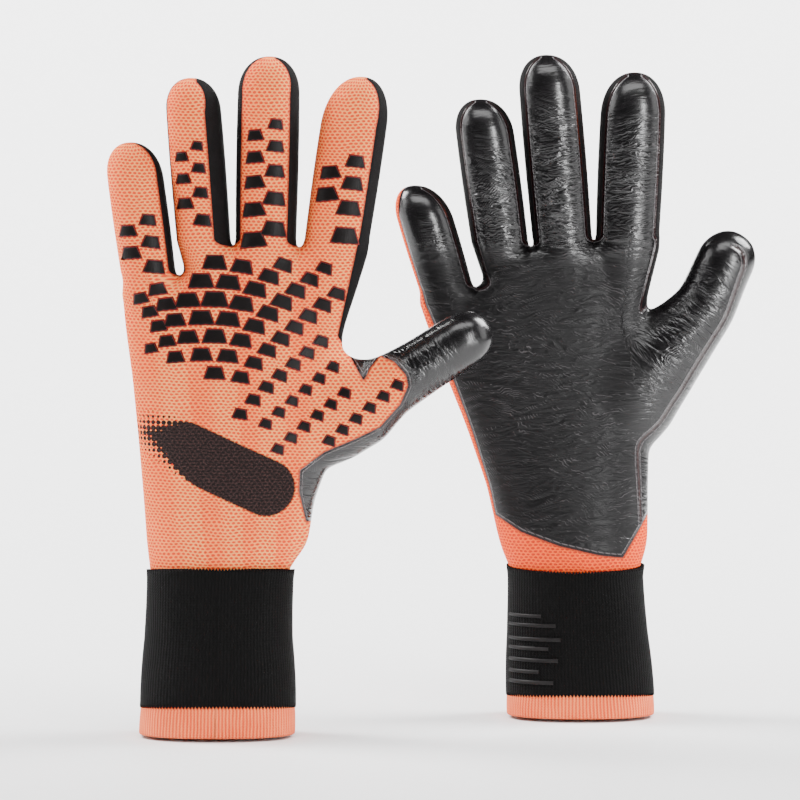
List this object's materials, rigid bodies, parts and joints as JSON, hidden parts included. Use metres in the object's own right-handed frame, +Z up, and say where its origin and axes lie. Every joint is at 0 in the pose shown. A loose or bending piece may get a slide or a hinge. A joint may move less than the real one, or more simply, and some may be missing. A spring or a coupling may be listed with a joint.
{
  "type": "goalkeeper gloves",
  "caption": "Pair of strapless goalkeeper gloves with knit backs, rib cuffs and latex palms, bending at wrist, thumb and fingers.",
  "frame": {"origin": "on the surface that the gloves stand on, under the middle of the pair", "axes": "+Z up along the fingers, +X from the left glove to the right glove, +Y away from the viewer of the back of the left glove"},
  "size_m": [0.2743, 0.1166, 0.285],
  "materials": {
    "knit_coral": "matt coral pitted knit with paler ridges",
    "hem_coral": "matt coral ribbed knit",
    "rib_black": "matt black fine rib knit",
    "latex_black": "black crinkled latex foam with a soft gloss",
    "gusset_black": "matt black smooth stretch fabric",
    "grip_print": "black rubber print with a dark red edge",
    "stitching": "grey and black sewing thread"
  },
  "bodies": {
    "left_cuff": {"left_cuff_hem": "hem_coral", "left_cuff_band": "rib_black"},
    "left_hand": {"left_backhand": "knit_coral", "left_palm": "latex_black", "left_heel": "knit_coral", "left_side_gusset": "gusset_black", "left_print_panel": "grip_print"},
    "left_index_base": {"left_index_base_back": "knit_coral", "left_index_base_palm": "latex_black"},
    "left_index_tip": {"left_index_tip_back": "knit_coral", "left_index_tip_gusset": "gusset_black", "left_index_tip_palm": "latex_black"},
    "left_middle_base": {"left_middle_base_back": "knit_coral", "left_middle_base_palm": "latex_black"},
    "left_middle_tip": {"left_middle_tip_back": "knit_coral", "left_middle_tip_gusset": "gusset_black", "left_middle_tip_palm": "latex_black"},
    "left_ring_base": {"left_ring_base_back": "knit_coral", "left_ring_base_palm": "latex_black"},
    "left_ring_tip": {"left_ring_tip_back": "knit_coral", "left_ring_tip_gusset": "gusset_black", "left_ring_tip_palm": "latex_black"},
    "left_little_base": {"left_little_base_back": "knit_coral", "left_little_base_palm": "latex_black"},
    "left_little_tip": {"left_little_tip_back": "knit_coral", "left_little_tip_gusset": "gusset_black", "left_little_tip_palm": "latex_black"},
    "left_thumb_base": {"left_thumb_patch": "knit_coral", "left_thumb_base": "latex_black"},
    "left_thumb_tip": {"left_thumb_tip": "latex_black"},
    "right_cuff": {"right_cuff_hem": "hem_coral", "right_cuff_band": "rib_black"},
    "right_hand": {"right_backhand": "knit_coral", "right_palm": "latex_black", "right_heel": "knit_coral", "right_side_gusset": "gusset_black", "right_print_panel": "grip_print"},
    "right_index_base": {"right_index_base_back": "knit_coral", "right_index_base_palm": "latex_black"},
    "right_index_tip": {"right_index_tip_back": "knit_coral", "right_index_tip_gusset": "gusset_black", "right_index_tip_palm": "latex_black"},
    "right_middle_base": {"right_middle_base_back": "knit_coral", "right_middle_base_palm": "latex_black"},
    "right_middle_tip": {"right_middle_tip_back": "knit_coral", "right_middle_tip_gusset": "gusset_black", "right_middle_tip_palm": "latex_black"},
    "right_ring_base": {"right_ring_base_back": "knit_coral", "right_ring_base_palm": "latex_black"},
    "right_ring_tip": {"right_ring_tip_back": "knit_coral", "right_ring_tip_gusset": "gusset_black", "right_ring_tip_palm": "latex_black"},
    "right_little_base": {"right_little_base_back": "knit_coral", "right_little_base_palm": "latex_black"},
    "right_little_tip": {"right_little_tip_back": "knit_coral", "right_little_tip_gusset": "gusset_black", "right_little_tip_palm": "latex_black"},
    "right_thumb_base": {"right_thumb_patch": "knit_coral", "right_thumb_base": "latex_black"},
    "right_thumb_tip": {"right_thumb_tip": "latex_black"}
  },
  "joints": [
    {"name": "left_wrist", "type": "hinge", "parent": "left_cuff", "child": "left_hand", "pos_m": [-0.0907, -0.035, 0.066], "axis": [-1, 0, 0], "range_deg": [-20, 20]},
    {"name": "left_index_base_bend", "type": "hinge", "parent": "left_hand", "child": "left_index_base", "pos_m": [-0.04089, -0.0295, 0.2105], "axis": [-1, 0, 0], "range_deg": [-8, 70]},
    {"name": "left_index_tip_bend", "type": "hinge", "parent": "left_index_base", "child": "left_index_tip", "pos_m": [-0.03597, -0.0295, 0.244], "axis": [-1, 0, 0], "range_deg": [0, 80]},
    {"name": "left_middle_base_bend", "type": "hinge", "parent": "left_hand", "child": "left_middle_base", "pos_m": [-0.07101, -0.0295, 0.211], "axis": [-1, 0, 0], "range_deg": [-8, 70]},
    {"name": "left_middle_tip_bend", "type": "hinge", "parent": "left_middle_base", "child": "left_middle_tip", "pos_m": [-0.07029, -0.0295, 0.2465], "axis": [-1, 0, 0], "range_deg": [0, 80]},
    {"name": "left_ring_base_bend", "type": "hinge", "parent": "left_hand", "child": "left_ring_base", "pos_m": [-0.09744, -0.0295, 0.211], "axis": [-1, 0, 0], "range_deg": [-8, 70]},
    {"name": "left_ring_tip_bend", "type": "hinge", "parent": "left_ring_base", "child": "left_ring_tip", "pos_m": [-0.09983, -0.0295, 0.243], "axis": [-1, 0, 0], "range_deg": [0, 80]},
    {"name": "left_little_base_bend", "type": "hinge", "parent": "left_hand", "child": "left_little_base", "pos_m": [-0.12096, -0.0295, 0.198], "axis": [-1, 0, 0], "range_deg": [-8, 70]},
    {"name": "left_little_tip_bend", "type": "hinge", "parent": "left_little_base", "child": "left_little_tip", "pos_m": [-0.12453, -0.0295, 0.225], "axis": [-1, 0, 0], "range_deg": [0, 80]},
    {"name": "left_thumb_base_bend", "type": "hinge", "parent": "left_hand", "child": "left_thumb_base", "pos_m": [-0.01784, -0.0295, 0.14717], "axis": [-0.5417, 0, 0.8406], "range_deg": [-8, 40]},
    {"name": "left_thumb_tip_bend", "type": "hinge", "parent": "left_thumb_base", "child": "left_thumb_tip", "pos_m": [0.00234, -0.0295, 0.16017], "axis": [-0.5417, 0, 0.8406], "range_deg": [0, 55]},
    {"name": "right_glove_slide", "type": "slide", "parent": "left_cuff", "child": "right_cuff", "axis": [0, 1, 0], "range_m": [0, 0.15]},
    {"name": "right_wrist", "type": "hinge", "parent": "right_cuff", "child": "right_hand", "pos_m": [0.0603, 0.035, 0.061], "axis": [1, 0, 0], "range_deg": [-20, 20]},
    {"name": "right_index_base_bend", "type": "hinge", "parent": "right_hand", "child": "right_index_base", "pos_m": [0.08311, 0.0295, 0.209], "axis": [1, 0, 0], "range_deg": [-8, 70]},
    {"name": "right_index_tip_bend", "type": "hinge", "parent": "right_index_base", "child": "right_index_tip", "pos_m": [0.08451, 0.0295, 0.243], "axis": [1, 0, 0], "range_deg": [0, 80]},
    {"name": "right_middle_base_bend", "type": "hinge", "parent": "right_hand", "child": "right_middle_base", "pos_m": [0.05457, 0.0295, 0.209], "axis": [1, 0, 0], "range_deg": [-8, 70]},
    {"name": "right_middle_tip_bend", "type": "hinge", "parent": "right_middle_base", "child": "right_middle_tip", "pos_m": [0.05146, 0.0295, 0.245], "axis": [1, 0, 0], "range_deg": [0, 80]},
    {"name": "right_ring_base_bend", "type": "hinge", "parent": "right_hand", "child": "right_ring_base", "pos_m": [0.02762, 0.0295, 0.207], "axis": [1, 0, 0], "range_deg": [-8, 70]},
    {"name": "right_ring_tip_bend", "type": "hinge", "parent": "right_ring_base", "child": "right_ring_tip", "pos_m": [0.02366, 0.0295, 0.236], "axis": [1, 0, 0], "range_deg": [0, 80]},
    {"name": "right_little_base_bend", "type": "hinge", "parent": "right_hand", "child": "right_little_base", "pos_m": [0.00341, 0.0295, 0.189], "axis": [1, 0, 0], "range_deg": [-8, 70]},
    {"name": "right_little_tip_bend", "type": "hinge", "parent": "right_little_base", "child": "right_little_tip", "pos_m": [-0.00344, 0.0295, 0.212], "axis": [1, 0, 0], "range_deg": [0, 80]},
    {"name": "right_thumb_base_bend", "type": "hinge", "parent": "right_hand", "child": "right_thumb_base", "pos_m": [0.10469, 0.0295, 0.16542], "axis": [0.8425, 0, -0.5388], "range_deg": [-8, 40]},
    {"name": "right_thumb_tip_bend", "type": "hinge", "parent": "right_thumb_base", "child": "right_thumb_tip", "pos_m": [0.11762, 0.0295, 0.18564], "axis": [0.8425, 0, -0.5388], "range_deg": [0, 55]}
  ]
}
